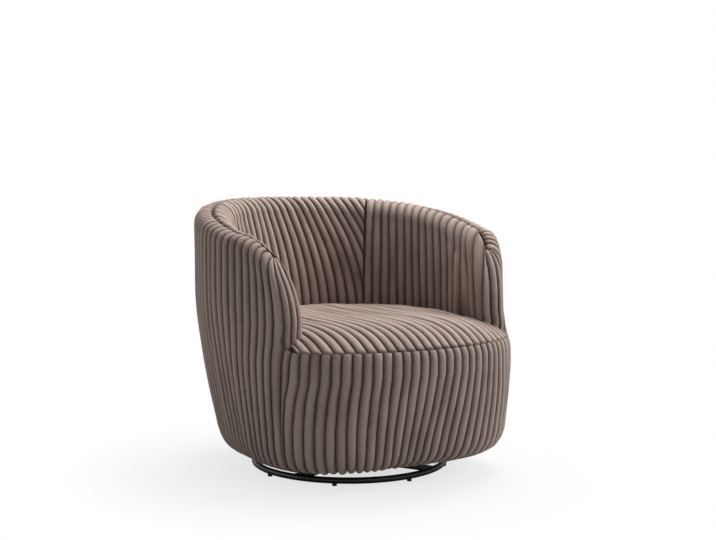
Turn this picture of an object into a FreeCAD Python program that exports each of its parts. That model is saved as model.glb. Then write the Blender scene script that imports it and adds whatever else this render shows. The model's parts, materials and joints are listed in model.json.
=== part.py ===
import FreeCAD, Part
import math
import os

# Swivel lounge chair, millimetres. Z is up, the sitter faces -Y, and the origin is on the
# floor at the swivel axis. The valleys of the ribbed cloth set the outline, and the ribs
# stand proud of them.

# Cloth, padding and fits
rib_depth = 5.0
cloth_thickness = 4.0
fit_gap = 0.3
padding_gap = 3.0
seat_clearance = 6.0
seat_seam_gap = 0.8
wall_padding = 10.0
rim_padding = 19.0
inner_rim_padding = 28.0
inner_wall_padding = 42.0
shell_board_thickness = 12.0
front_board_thickness = 5.0
front_padding = 18.0
plywood_thickness = 18.0

# Outer wall of the shell, from the turned hem up to the rolled rim
underside_height = 50.0
heel_height = 68.0
skirt_height = 112.0
skirt_radius = 341.0
hem_inset = 89.0
underside_inset = 57.0
heel_inset = 19.0
shoulder_height = 400.0
shoulder_spread = 50.0
crown_height = 480.0
wall_spread = 54.0
wall_shares = (0.65,)

# How far the front corners stand out of the round plan, at those heights
underside_swell = 50.0
heel_swell = 56.0
skirt_swell = 54.0
seam_swell = 26.0
shoulder_swell = 4.0

# Rolled rim: high behind, lower on the arms, falling to the seat in front
back_rim_height = 685.0
arm_rim_height = 615.0
rim_fall_power = 1.3
rim_roll_radius = 43.0
arm_start_share = 0.1733
arm_reach_share = 0.3636
arm_front_rise = 36.0
inner_wall_lean = 32.0

# Seams, in degrees from the middle of the back or of the front
back_seam_angle = 42.0
front_seam_angle = 53.0
apex_turn_angle = 40.0
nose_turn_angles = (53.0, 66.0, 90.0)
apex_seam_roll = 87.0
nose_flare_power = 3
nose_seam_roll = 12.0

# Ribs of each cloth panel, and the padding's lines under them
rib_sides = 3
rib_depth_share = 0.21
back_outer_ribs = 20
arm_outer_ribs = 17
back_inner_ribs = 17
arm_inner_ribs = 15
nose_ribs = 5
front_ribs = 29
seat_ribs = 24
back_padding_parts = 12
arm_padding_parts = 10
front_padding_parts = 16
seat_padding_parts = 12
seam_search_steps = 30

# Seat
seat_seam_height = 350.0
seat_crown = 45.0
seat_crown_power = 3.5
seat_crown_inset = 39.0
seat_disc_inset = 83.0
seat_side_inset = 95.0
seat_corner_power = 40
seat_row_shares = (0, 0.3, 0.6, 0.8, 0.92, 1)
front_belly = 22.0
front_belly_drop = 60.0
seam_setback = 4.0
front_foam_drop = 74.0

# Wooden frame inside
bottom_board_inset = 69.0
deck_drop = 80.0
deck_inset = 33.0
deck_width = 52.0
arm_rail_drop = 24.0
arm_rail_width = 25.0
arm_rail_angle = 112.0
former_foot_depth = 36.0
former_trim = 1.0
former_angles = (-106.0, -71.0, -36.0, 0.0, 36.0, 71.0, 106.0)
front_former_angles = (-26.5, 0.0, 26.5)
strap_width = 50.0
strap_thickness = 1.5
strap_pitch = 82.0
strap_count = 5
strap_inset = 22.0
wood_screw_radius = 2.0
wood_screw_head_radius = 4.5
wood_screw_length = 45.0

# Floor ring and its arms
ring_radius = 249.5
ring_tube_radius = 8.0
glide_radius = 6.0
glide_height = 5.0
glide_count = 8
base_turn = 29.0
arm_count = 4
arm_width = 45.0
arm_thickness = 5.0
arm_inner_radius = 36.0
hub_radius = 92.0
hub_thickness = 4.0

# Swivel: two pressed plates with a ring of balls between them
plate_side = 150.0
plate_corner_radius = 18.0
plate_thickness = 3.0
plate_hole_circle = 78.0
plate_hole_count = 4
race_radius = 50.0
race_gap = 0.3
ball_radius = 3.2
ball_count = 8
ball_sink = 1.2
cage_width = 12.0
cage_thickness = 1.2
pivot_radius = 8.0
pivot_gap = 0.3
pivot_head_radius = 14.0
pivot_head_thickness = 3.0
pivot_recess_gap = 1.5
bolt_radius = 3.0
bolt_head_radius = 5.8
bolt_head_thickness = 4.0
screw_length = 22.0
screw_head_radius = 5.5
screw_head_thickness = 2.0
spacer_side = 176.0
dust_cover_thickness = 1.0
dust_cover_hole_radius = 132.0
dust_cover_gap = 2.0

# Radii that follow the skirt's
shoulder_radius = skirt_radius + shoulder_spread
wall_radius = skirt_radius + wall_spread
seat_crown_radius = wall_radius - seat_crown_inset
seat_disc_radius = wall_radius - seat_disc_inset
seat_half_width = wall_radius - seat_side_inset
hem_radius = skirt_radius - hem_inset
underside_radius = skirt_radius - underside_inset
heel_radius = skirt_radius - heel_inset
bottom_board_radius = skirt_radius - bottom_board_inset
deck_outer_radius = skirt_radius - deck_inset
deck_inner_radius = deck_outer_radius - deck_width

# Heights that follow the seat's seam
arm_front_foot = seat_seam_height + arm_front_rise
front_belly_height = seat_seam_height - front_belly_drop
front_foam_top = seat_seam_height - front_foam_drop
arm_rail_height = seat_seam_height - arm_rail_drop
deck_height = seat_seam_height - deck_drop

# Heights stacked up from the floor
ring_height = glide_height + ring_tube_radius
arm_base = ring_height - arm_thickness / 2
hub_base = arm_base + arm_thickness
lower_plate_base = hub_base + hub_thickness
ball_height = lower_plate_base + plate_thickness + ball_radius - ball_sink
upper_plate_base = ball_height + ball_radius - ball_sink
upper_plate_top = upper_plate_base + plate_thickness
bottom_board_base = underside_height + cloth_thickness
bottom_board_top = bottom_board_base + plywood_thickness
deck_top = deck_height + plywood_thickness
strap_top = deck_top + strap_thickness
cross_strap_base = strap_top + fit_gap
seat_foam_base = cross_strap_base + strap_thickness + fit_gap

# Angles in radians, from the middle of the back
back_seam = math.radians(back_seam_angle)
front_seam = math.pi - math.radians(front_seam_angle)
seam_gap_angle = fit_gap / wall_radius
apex_turn = math.radians(apex_turn_angle)
rim_centre_radius = wall_radius - rim_roll_radius
arm_front_start = rim_centre_radius * arm_start_share
arm_front_reach = rim_centre_radius * arm_reach_share
rim_centre_height = arm_rim_height - rim_roll_radius
roll_gap_angle = fit_gap / rim_roll_radius

# Rows of the wall: height, radius and corner swell
wall_profile = (
    (underside_height, underside_radius, underside_swell),
    (heel_height, heel_radius, heel_swell),
    (skirt_height, skirt_radius, skirt_swell),
    (shoulder_height, shoulder_radius, shoulder_swell),
    (crown_height, wall_radius, 0),
)
front_profile = wall_profile[:3] + ((seat_seam_height, 0, seam_swell),)

# Depths at which the shell's padding ends, below the cloth's valleys
padding_face = cloth_thickness + padding_gap
wall_padding_depth = padding_face + wall_padding
shell_board_face = wall_padding_depth + fit_gap
shell_board_depth = shell_board_face + shell_board_thickness
front_padding_depth = padding_face + front_padding
front_board_face = front_padding_depth + fit_gap
front_board_depth = front_board_face + front_board_thickness


def vec(x, y, z):
    return FreeCAD.Vector(x, y, z)


def lerp(start, end, share):
    return start + (end - start) * share


def spread(start, end, parts):
    """Values from start to end that divide it into equal parts."""
    return [lerp(start, end, step / parts) for step in range(parts + 1)]


def along_table(table, height, column):
    """Straight-line value of a column of a table whose rows start with a height."""
    for low, high in zip(table, table[1:]):
        if height <= high[0]:
            break
    share = (height - low[0]) / (high[0] - low[0])
    return lerp(low[column], high[column], min(max(share, 0), 1))


def save(name, shape):
    shape.exportStep("parts/" + name + ".step")


# The chair's surface

def corner_share(angle):
    """How much of the corner swell applies: full at the front corners, none behind."""
    ahead = abs(math.pi - abs(angle))
    return math.sin(ahead + ahead) ** 2 if ahead < math.pi / 2 else 0


def outward(angle):
    return vec(math.sin(angle), math.cos(angle), 0)


def forward(angle):
    """Direction along the wall towards the arm's front, for either arm."""
    side = 1 if angle >= 0 else -1
    return vec(math.cos(angle), -math.sin(angle), 0) * side


def wall_radius_at(angle, height):
    radius = along_table(wall_profile, height, 1)
    return radius + along_table(wall_profile, height, 2) * corner_share(angle)


def front_radius_at(angle, height):
    rise = (height - skirt_height) / (front_belly_height - skirt_height)
    if height > front_belly_height:
        rise = (seat_seam_height - height) / (seat_seam_height - front_belly_height)
    corner = corner_share(angle)
    belly = front_belly * min(max(rise, 0), 1) * (1 - corner)
    swell = along_table(front_profile, height, 2) * corner
    return along_table(wall_profile, height, 1) + belly + swell


def turn_at(angle):
    """Turn along the falling arm front: 0 where it starts, a quarter turn at its foot."""
    reach = -arm_front_start - rim_centre_radius * math.cos(angle)
    return math.asin(min(max(reach / arm_front_reach, 0), 1))


def angle_at(turn):
    reach = arm_front_start + arm_front_reach * math.sin(turn)
    return math.acos(-reach / rim_centre_radius)


def rim_centre(angle):
    """Centre of the rolled rim, and the direction in which the roll stands up."""
    size = abs(angle)
    place = rim_centre_radius * math.cos(size)
    if place > -arm_front_start:
        run = rim_centre_radius + arm_front_start
        share = (place + arm_front_start) / run
        fall = back_rim_height - arm_rim_height
        height = rim_centre_height + fall * share ** rim_fall_power
        slope = fall * rim_fall_power * share ** (rim_fall_power - 1) / run
        up = forward(angle) * (slope * math.sin(size)) + vec(0, 0, 1)
    else:
        turn = turn_at(size)
        rise = rim_centre_height - arm_front_foot
        height = arm_front_foot + rise * math.cos(turn)
        run = arm_front_reach * math.cos(turn) / math.sin(size)
        up = forward(angle) * (rise * math.sin(turn)) + vec(0, 0, run)
    radius = wall_radius_at(angle, height) - rim_roll_radius
    return outward(angle) * radius + vec(0, 0, height), up.normalize()


def rim_point(angle, roll):
    """Point and normal on the rolled rim: roll 0 is outside, half a turn is inside."""
    centre, up = rim_centre(angle)
    normal = outward(angle) * math.cos(roll) + up * math.sin(roll)
    return centre + normal * rim_roll_radius, normal


def seam_roll(turn):
    """Roll of the top seam: on the ridge, and falling away beside the arm's front."""
    if turn < apex_turn - roll_gap_angle:
        return math.pi / 2
    share = (turn - apex_turn) / (math.pi / 2 - apex_turn)
    return math.radians(lerp(apex_seam_roll, nose_seam_roll, share))


def crown_radius_at(angle):
    """Where the seat's crown comes down to the seam, in that direction."""
    if abs(angle) < front_seam:
        return seat_crown_radius
    return front_radius_at(angle, seat_seam_height) - seam_setback


def seat_height(x, y):
    share = min(math.hypot(x, y) / crown_radius_at(math.atan2(x, y)), 1)
    return seat_seam_height + seat_crown * (1 - share ** seat_crown_power)


# Lines of the surface. Each is a list of points and normals, and runs along a valley.

def wall_line(corners, side):
    """Points and normals at the (radius, height) corners of a wall, after its hem."""
    line = []
    for before, here, after in zip(corners, corners[1:], corners[2:] + corners[-1:]):
        rise = after[1] - before[1]
        run = after[0] - before[0]
        normal = (side * rise - vec(0, 0, run)).normalize()
        line.append((side * here[0] + vec(0, 0, here[1]), normal))
    return line


def outer_wall(angle, top):
    """The outer wall at one angle, from the hem's turn up to a height."""
    heights = [underside_height, heel_height, skirt_height]
    heights += [lerp(skirt_height, top, share) for share in wall_shares]
    hem = hem_radius + underside_swell * corner_share(angle)
    corners = [(hem, underside_height)]
    corners += [(wall_radius_at(angle, height), height) for height in heights]
    return wall_line(corners + [(wall_radius_at(angle, top), top)], outward(angle))[:-1]


def outer_line(angle):
    """An outer panel's valley, from the hem to the rim's ridge or the arm front's seam."""
    hem = hem_radius + underside_swell * corner_share(angle)
    line = [(outward(angle) * hem + vec(0, 0, underside_height), vec(0, 0, -1))]
    last_roll = seam_roll(turn_at(abs(angle))) - roll_gap_angle
    line += outer_wall(angle, rim_centre(angle)[0].z)
    line += [rim_point(angle, roll) for roll in spread(0, last_roll, 2)]
    return line


def flap_line(angle):
    """The outer panel's last valley, which ends at the seat's seam."""
    hem = hem_radius + underside_swell * corner_share(angle)
    line = [(outward(angle) * hem + vec(0, 0, underside_height), vec(0, 0, -1))]
    line += outer_wall(angle, seat_seam_height)
    top = wall_radius_at(angle, seat_seam_height)
    for rise in spread(0, rib_depth, 2):
        point = outward(angle) * top + vec(0, 0, seat_seam_height + rise)
        line.append((point, outward(angle)))
    return line


def inner_foot(angle):
    """Foot of the inner wall, just clear of the seat."""
    height = rim_centre(angle)[0].z
    drop = (height - arm_front_foot) / (rim_centre(0)[0].z - arm_front_foot)
    top = rim_point(angle, math.pi)[0]
    foot = vec(top.x, top.y, 0) - outward(angle) * (inner_wall_lean * drop)
    crest = seat_height(foot.x, foot.y) + rib_depth + seat_clearance
    return foot + vec(0, 0, min(crest, height - fit_gap))


def inner_wall(angle):
    """Middle and foot of the inner wall, with their normal."""
    top = rim_point(angle, math.pi)[0]
    down = inner_foot(angle) - top
    normal = forward(angle).cross(down).normalize()
    if normal.dot(outward(angle)) > 0:
        normal = -normal
    return [(top + down * share, normal) for share in (1 / 2, 1)]


def inner_line(angle):
    """An inner panel's valley, from the rim's ridge or the arm front's seam to the seat."""
    first_roll = math.pi - seam_roll(turn_at(abs(angle))) + roll_gap_angle
    line = [rim_point(angle, roll) for roll in spread(first_roll, math.pi, 2)]
    return line + inner_wall(angle)


def nose_line(share):
    """A valley of the arm front's cover, from its apex down to the seat, on one side."""
    turns = [apex_turn] + [math.radians(turn) for turn in nose_turn_angles]
    line = []
    for turn in turns:
        seam = seam_roll(turn) + roll_gap_angle
        line.append(rim_point(angle_at(turn), lerp(seam, math.pi - seam, share)))
    point, normal = line[-1]
    corner = outward(front_seam) * wall_radius_at(front_seam, seat_seam_height)
    foot = lerp(point, corner, (1 - share) ** nose_flare_power)
    height = seat_height(foot.x, foot.y) + rib_depth + seat_clearance
    line.append((vec(foot.x, foot.y, min(height, point.z - fit_gap)), normal))
    return line


def front_line(angle):
    """A front panel's valley, from the hem up to the seat's seam."""
    hem = hem_radius + underside_swell * corner_share(angle)
    heights = (underside_height, heel_height, skirt_height, front_belly_height)
    corners = [(hem, underside_height)]
    corners += [(front_radius_at(angle, height), height) for height in heights]
    corners.append((seam_radius_at(angle), seat_seam_height))
    start = outward(angle) * hem + vec(0, 0, underside_height)
    return [(start, vec(0, 0, -1))] + wall_line(corners, outward(angle))


def front_padding_line(angle):
    """The front wall from its underside to the top of its padding, below the seat cushion."""
    hem = hem_radius + underside_swell * corner_share(angle)
    heights = (underside_height, heel_height, skirt_height, front_foam_top)
    corners = [(front_radius_at(angle, height), height) for height in heights]
    return wall_line([(hem, underside_height)] + corners, outward(angle))


def seam_radius_at(angle):
    """Radius of the seat's front seam, which runs straight back past its outer corners."""
    radius = front_radius_at(angle, seat_seam_height) - seam_setback
    reach = radius * abs(math.sin(angle)) / seat_half_width
    return radius / (1 + reach ** seat_corner_power) ** (1 / seat_corner_power)


def seat_front_at(x, inset):
    """Distance ahead of the axis at which a rib meets the seat's front seam, drawn in."""
    low = 0
    high = math.pi - front_seam
    for _ in range(seam_search_steps):
        middle = (low + high) / 2
        if (seam_radius_at(math.pi - middle) - inset) * math.sin(middle) < abs(x):
            low = middle
        else:
            high = middle
    return (seam_radius_at(math.pi - low) - inset) * math.cos(low)


def seat_line(x, inset):
    """A seat valley from back to front, drawn in at both ends."""
    back = math.sqrt(seat_disc_radius ** 2 - x ** 2) - inset
    front = -seat_front_at(x, inset)
    line = []
    for share in seat_row_shares:
        y = lerp(back, front, share)
        step = fit_gap
        slope_x = (seat_height(x + step, y) - seat_height(x - step, y)) / (step + step)
        slope_y = (seat_height(x, y + step) - seat_height(x, y - step)) / (step + step)
        normal = vec(-slope_x, -slope_y, 1).normalize()
        line.append((vec(x, y, seat_height(x, y)), normal))
    return line


# Solids made from lines

def row_of(lines, row, depth):
    """Points of one row across the lines, at a depth below the surface."""
    return [line[row][0] - line[row][1] * depth for line in lines]


def rib_row(lines, row):
    """Points of one row across the ribs, rounded over each rib in a few straight sides."""
    points = []
    for near, far in zip(lines, lines[1:]):
        normal = (near[row][1] + far[row][1]).normalize()
        across = far[row][0] - near[row][0]
        depth = min(rib_depth, across.Length * rib_depth_share)
        for share in spread(0, 1, rib_sides)[:-1]:
            bulge = math.sin(math.pi * share)
            points.append(near[row][0] + across * share + normal * (depth * bulge))
    return points + [lines[-1][row][0]]


def strip(first, second):
    """Flat three-sided faces that join two rows of points, finer or coarser."""
    first_steps = len(first) - 1
    second_steps = len(second) - 1
    faces = []
    near = 0
    far = 0
    while near < first_steps or far < second_steps:
        corners = [first[near], second[far]]
        near_middle = (near + near + 1) * second_steps
        far_middle = (far + far + 1) * first_steps
        if near_middle <= far_middle:
            near += 1
            corners.append(first[near])
        else:
            far += 1
            corners.append(second[far])
        faces.append(Part.Face(Part.makePolygon(corners + corners[:1])))
    return faces


def closed_sheet(face_rows, back_rows):
    """Closed solid between two sets of rows of points."""
    faces = []
    for rows in (face_rows, back_rows):
        for row, following in zip(rows, rows[1:]):
            faces += strip(row, following)
    for end in (0, -1):
        faces += strip(face_rows[end], back_rows[end])
        faces += strip([row[end] for row in face_rows], [row[end] for row in back_rows])
    shell = Part.makeShell(faces)
    shell.sewShape()
    solid = Part.makeSolid(Part.Shell(shell.Faces))
    if solid.Volume < 0:
        solid.reverse()
    return solid


def ribbed_cloth(lines):
    rows = range(len(lines[0]))
    face_rows = [rib_row(lines, row) for row in rows]
    back_rows = [row_of(lines, row, cloth_thickness) for row in rows]
    return closed_sheet(face_rows, back_rows)


def padding(lines, face_depth, back_depths):
    """Plain padding or board under the lines, with its own back depth at each row."""
    face_rows = []
    back_rows = []
    for row, back_depth in enumerate(back_depths):
        face_rows.append(row_of(lines, row, face_depth))
        back_rows.append(row_of(lines, row, back_depth))
    return closed_sheet(face_rows, back_rows)


def mirrored(shape):
    return shape.mirror(vec(0, 0, 0), vec(1, 0, 0))


def save_pair(name, shape):
    """A piece of the sitter's left arm, and its mirror image on the right."""
    save(name + "_left", shape)
    save(name + "_right", mirrored(shape))


# Cloth covers

def arm_angles(ribs):
    angles = spread(back_seam + seam_gap_angle, angle_at(apex_turn), ribs)
    return angles + [angle_at(math.radians(turn)) for turn in nose_turn_angles]


def make_covers():
    back_limit = back_seam - seam_gap_angle
    back_angles = spread(-back_limit, back_limit, back_outer_ribs)
    save("back_outer_cover", ribbed_cloth([outer_line(angle) for angle in back_angles]))
    back_angles = spread(-back_limit, back_limit, back_inner_ribs)
    save("back_inner_cover", ribbed_cloth([inner_line(angle) for angle in back_angles]))
    lines = [outer_line(angle) for angle in arm_angles(arm_outer_ribs)]
    lines.append(flap_line(front_seam - seam_gap_angle))
    save_pair("arm_outer_cover", ribbed_cloth(lines))
    lines = [inner_line(angle) for angle in arm_angles(arm_inner_ribs)]
    save_pair("arm_inner_cover", ribbed_cloth(lines))
    lines = [nose_line(share) for share in spread(0, 1, nose_ribs)]
    save_pair("arm_front_cover", ribbed_cloth(lines))
    half = math.pi - front_seam - seam_gap_angle
    lines = [front_line(angle) for angle in spread(math.pi - half, math.pi + half, front_ribs)]
    save("front_cover", ribbed_cloth(lines))
    half_width = seat_half_width - padding_gap - rib_depth
    inset = cloth_thickness + seat_seam_gap
    lines = [seat_line(x, inset) for x in spread(-half_width, half_width, seat_ribs)]
    save("seat_top_cover", ribbed_cloth(lines))


# Padding

def shell_line(angle):
    """The whole section of the shell, from its underside over the rim to the seat."""
    line = outer_wall(angle, rim_centre(angle)[0].z)
    line += [rim_point(angle, roll) for roll in spread(0, math.pi, 4)]
    return line + inner_wall(angle)[-1:]


def shell_padding(angles):
    """Padding of the shell. The hollow wall's straight sides are set back behind its cloth."""
    step = angles[1] - angles[0]
    set_back = rim_centre_radius * (1 / math.cos(step / 2) - 1)
    lines = []
    for angle in angles:
        line = shell_line(angle)
        inner = [(point - normal * set_back, normal) for point, normal in line[-3:]]
        lines.append(line[:-3] + inner)
    inner_depth = padding_face + inner_wall_padding
    depths = [wall_padding_depth] * (len(lines[0]) - 5)
    depths += [padding_face + rim_padding] * 2
    depths += [padding_face + inner_rim_padding] + [inner_depth] * 2
    return padding(lines, padding_face, depths)


def make_padding():
    limit = back_seam - seam_gap_angle
    save("back_foam", shell_padding(spread(-limit, limit, back_padding_parts)))
    angles = spread(back_seam + seam_gap_angle, angle_at(apex_turn), arm_padding_parts)
    angles += [angle_at(math.radians(turn)) for turn in nose_turn_angles[1:]]
    save_pair("arm_foam", shell_padding(angles))
    half = math.radians(front_seam_angle) - seam_gap_angle
    angles = spread(math.pi - half, math.pi + half, front_padding_parts)
    lines = [front_padding_line(angle) for angle in angles]
    depths = [front_padding_depth] * len(lines[0])
    save("front_foam", padding(lines, padding_face, depths))
    half_width = seat_half_width - padding_gap - rib_depth - padding_gap
    inset = cloth_thickness + padding_gap
    lines = [seat_line(x, inset) for x in spread(-half_width, half_width, seat_padding_parts)]
    face_rows = []
    back_rows = []
    for row in range(len(seat_row_shares)):
        face_rows.append(row_of(lines, row, padding_face))
        back_rows.append([vec(point.x, point.y, seat_foam_base) for point in face_rows[-1]])
    save("seat_foam", closed_sheet(face_rows, back_rows))


# Wooden frame

def disc(radius, base, thickness):
    return Part.makeCylinder(radius, thickness, vec(0, 0, base))


def sector(angle, start, end, base, height, inner_radius, outer_radius):
    """Part of a flat ring, centred on an angle from the middle of the back."""
    ring = Part.makeCylinder(outer_radius, height, vec(0, 0, base), vec(0, 0, 1), end - start)
    ring = ring.cut(disc(inner_radius, base, height))
    return ring.rotate(vec(0, 0, 0), vec(0, 0, 1), angle + start)


def former(points, angle):
    """Upright plywood former, drawn in the plane through the axis at an angle."""
    outline = [vec(radius, -plywood_thickness / 2, height) for radius, height in points]
    face = Part.Face(Part.makePolygon(outline + outline[:1]))
    solid = face.extrude(vec(0, plywood_thickness, 0))
    quarter = math.degrees(math.pi / 2)
    solid.rotate(vec(0, 0, 0), vec(0, 0, 1), quarter - angle)
    return solid


def board(lines, rows, face, depth):
    """A bent board behind some rows of the lines."""
    lines = [[line[row] for row in rows] for line in lines]
    return padding(lines, face, [depth] * len(rows))


def inner_face_radius(line, depth, height):
    """Radius at a height of the inner face of a board behind the first rows of a line."""
    low, high = [point - normal * depth for point, normal in line[:2]]
    place = lerp(low, high, (height - low.z) / (high.z - low.z))
    return math.hypot(place.x, place.y)


def make_frame():
    centre = vec(0, 0, bottom_board_base)
    save("bottom_board", Part.makeCylinder(bottom_board_radius, plywood_thickness, centre))

    # The shell's bent board, and the flatter one behind the front cover
    back_angles = spread(-back_seam, back_seam, back_padding_parts)
    side_angles = spread(back_seam, angle_at(apex_turn), arm_padding_parts)[1:]
    angles = [-angle for angle in reversed(side_angles)] + back_angles + side_angles
    lines = [shell_line(angle) for angle in angles]
    shell_board = board(lines, range(2, 5), shell_board_face, shell_board_depth)
    save("shell_board", shell_board)
    half = math.radians(front_seam_angle) - seam_gap_angle
    angles = spread(math.pi - half, math.pi + half, front_padding_parts)[1:-1]
    lines = [front_padding_line(angle) for angle in angles]
    front_board = board(lines, (2, 3), front_board_face, front_board_depth)
    save("front_board", front_board)

    # Screws down through the deck into the formers
    half_turn = math.degrees(math.pi)
    front_angles = [half_turn + angle for angle in front_former_angles]
    middle = (deck_inner_radius + deck_outer_radius) / 2
    screw = disc(wood_screw_radius, deck_top - wood_screw_length, wood_screw_length)
    head = Part.makeCone(wood_screw_radius, wood_screw_head_radius, wood_screw_head_radius,
                         vec(0, 0, deck_top - wood_screw_head_radius))
    screw = screw.fuse(head)
    screws = []
    for angle in list(former_angles) + front_angles:
        screws.append(screw.translated(outward(math.radians(angle)) * middle))
    screws = Part.makeCompound(screws)
    save("deck_screws", screws)
    deck = disc(deck_outer_radius, deck_height, plywood_thickness)
    deck = deck.cut(disc(deck_inner_radius, deck_height, plywood_thickness))
    save("deck_ring", deck.cut(screws))

    # Upright formers under the arm rail, and shorter ones behind the front board, each
    # cut to lie against its board
    facet = math.cos((back_angles[1] - back_angles[0]) / 2)
    rail_outer = inner_face_radius(shell_line(0)[2:], shell_board_depth, arm_rail_height)
    rail_outer = rail_outer * facet - fit_gap
    rail_inner = rail_outer - arm_rail_width
    foot = [(bottom_board_radius - former_foot_depth, bottom_board_top),
            (bottom_board_radius, bottom_board_top)]
    shelf = [(deck_outer_radius + fit_gap, deck_height), (deck_inner_radius, deck_height)]
    for number, angle in enumerate(former_angles, 1):
        line = shell_line(math.radians(angle))[2:]
        post = [(inner_face_radius(line, shell_board_depth, height) + former_trim, height)
                for height in (skirt_height, arm_rail_height)]
        post.append((rail_inner, arm_rail_height))
        solid = former(foot + post + shelf, angle).cut(shell_board).cut(screws)
        save("shell_former_%d" % number, solid)
    for number, angle in enumerate(front_angles, 1):
        line = front_padding_line(math.radians(angle))[2:]
        post = [(inner_face_radius(line, front_board_depth, height) + former_trim, height)
                for height in (skirt_height, deck_height)]
        solid = former(foot + post + shelf[1:], angle).cut(front_board).cut(screws)
        save("front_former_%d" % number, solid)

    quarter = math.degrees(math.pi / 2)
    save("arm_rail", sector(quarter, -arm_rail_angle, arm_rail_angle, arm_rail_height,
                            plywood_thickness, rail_inner, rail_outer))
    make_straps()


def make_straps():
    """Elastic straps over the deck: one layer front to back, one across it."""
    radius = deck_outer_radius - strap_inset
    reach = strap_pitch * (strap_count - 1) / 2
    for name, base, along_x in (("straps_lengthwise", deck_top, False),
                                ("straps_crosswise", cross_strap_base, True)):
        straps = []
        for place in spread(-reach, reach, strap_count - 1):
            outer = abs(place) + strap_width / 2
            half = math.sqrt(radius ** 2 - outer ** 2)
            corner = vec(place - strap_width / 2, -half, base)
            strap = Part.makeBox(strap_width, half + half, strap_thickness, corner)
            if along_x:
                corner = vec(-half, place - strap_width / 2, base)
                strap = Part.makeBox(half + half, strap_width, strap_thickness, corner)
            straps.append(strap)
        save(name, Part.makeCompound(straps))


# Swivel and floor ring

def around(shape, count, start):
    """Copies of a shape, spaced evenly around the swivel axis."""
    turn = math.degrees(2 * math.pi) / count
    copies = []
    for number in range(count):
        copy = shape.copy()
        copy.rotate(vec(0, 0, 0), vec(0, 0, 1), start + turn * number)
        copies.append(copy)
    return copies


def post_at(distance, radius, base, height):
    return Part.makeCylinder(radius, height, vec(distance, 0, base))


def pressed_plate(base, race):
    """Square swivel plate with round corners, four holes, a pivot hole and half a race."""
    corner = vec(-plate_side / 2, -plate_side / 2, base)
    plate = Part.makeBox(plate_side, plate_side, plate_thickness, corner)
    uprights = [edge for edge in plate.Edges if edge.BoundBox.ZLength > plate_thickness / 2]
    plate = plate.makeFillet(plate_corner_radius, uprights)
    plate = plate.cut(disc(pivot_radius + pivot_gap, base, plate_thickness))
    plate = plate.cut(race)
    eighth = math.degrees(math.pi / 4)
    hole = post_at(plate_hole_circle, bolt_radius, base, plate_thickness)
    return plate.cut(Part.makeCompound(around(hole, plate_hole_count, eighth)))


def turned(shape):
    copy = shape.copy()
    copy.rotate(vec(0, 0, 0), vec(0, 0, 1), base_turn)
    return copy


def make_swivel():
    eighth = math.degrees(math.pi / 4)
    race_half = ball_radius + race_gap
    race = disc(race_radius + race_half, ball_height - race_half, race_half + race_half)
    race = race.cut(disc(race_radius - race_half, ball_height - race_half,
                         race_half + race_half))
    lower = pressed_plate(lower_plate_base, race)
    save("swivel_lower_plate", turned(lower))
    upper = pressed_plate(upper_plate_base, race)
    save("swivel_upper_plate", upper)
    ball = Part.makeSphere(ball_radius, vec(race_radius, 0, ball_height))
    save("swivel_balls", Part.makeCompound(around(ball, ball_count, base_turn)))
    cage_base = ball_height - cage_thickness / 2
    cage = disc(race_radius + cage_width / 2, cage_base, cage_thickness)
    cage = cage.cut(disc(race_radius - cage_width / 2, cage_base, cage_thickness))
    pocket = post_at(race_radius, ball_radius + race_gap, cage_base, cage_thickness)
    pockets = Part.makeCompound(around(pocket, ball_count, base_turn))
    save("swivel_ball_cage", cage.cut(pockets))

    # The pivot is riveted below the hub and holds the upper plate down
    pin_top = upper_plate_top + pivot_gap
    pivot = disc(pivot_radius, hub_base, pin_top - hub_base)
    pivot = pivot.fuse(disc(pivot_head_radius, hub_base - pivot_head_thickness,
                            pivot_head_thickness))
    pivot = pivot.fuse(disc(pivot_head_radius, pin_top, pivot_head_thickness))
    save("swivel_pivot", pivot.removeSplitter())

    bolt = post_at(plate_hole_circle, bolt_radius, hub_base, hub_thickness + plate_thickness)
    bolt = bolt.fuse(post_at(plate_hole_circle, bolt_head_radius,
                             hub_base - bolt_head_thickness, bolt_head_thickness))
    bolts = around(bolt, plate_hole_count, base_turn + eighth)
    save("lower_plate_bolts", Part.makeCompound(bolts))

    screw = post_at(plate_hole_circle, bolt_radius, upper_plate_base,
                    plate_thickness + screw_length)
    screw = screw.fuse(post_at(plate_hole_circle, screw_head_radius,
                               upper_plate_base - screw_head_thickness,
                               screw_head_thickness))
    screws = Part.makeCompound(around(screw, plate_hole_count, eighth))
    save("upper_plate_screws", screws)

    # Wooden block between the upper plate and the seat's bottom board
    corner = vec(-spacer_side / 2, -spacer_side / 2, upper_plate_top)
    spacer_height = bottom_board_base - upper_plate_top
    spacer = Part.makeBox(spacer_side, spacer_side, spacer_height, corner)
    recess = disc(pivot_head_radius + pivot_recess_gap, upper_plate_top,
                  pivot_gap + pivot_head_thickness + pivot_recess_gap)
    spacer = spacer.cut(recess).cut(screws)
    save("spacer_block", spacer)

    cover_base = bottom_board_base - dust_cover_thickness
    cover = disc(hem_radius - dust_cover_gap, cover_base, dust_cover_thickness)
    cover = cover.cut(disc(dust_cover_hole_radius, cover_base, dust_cover_thickness))
    save("dust_cover", cover)


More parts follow.
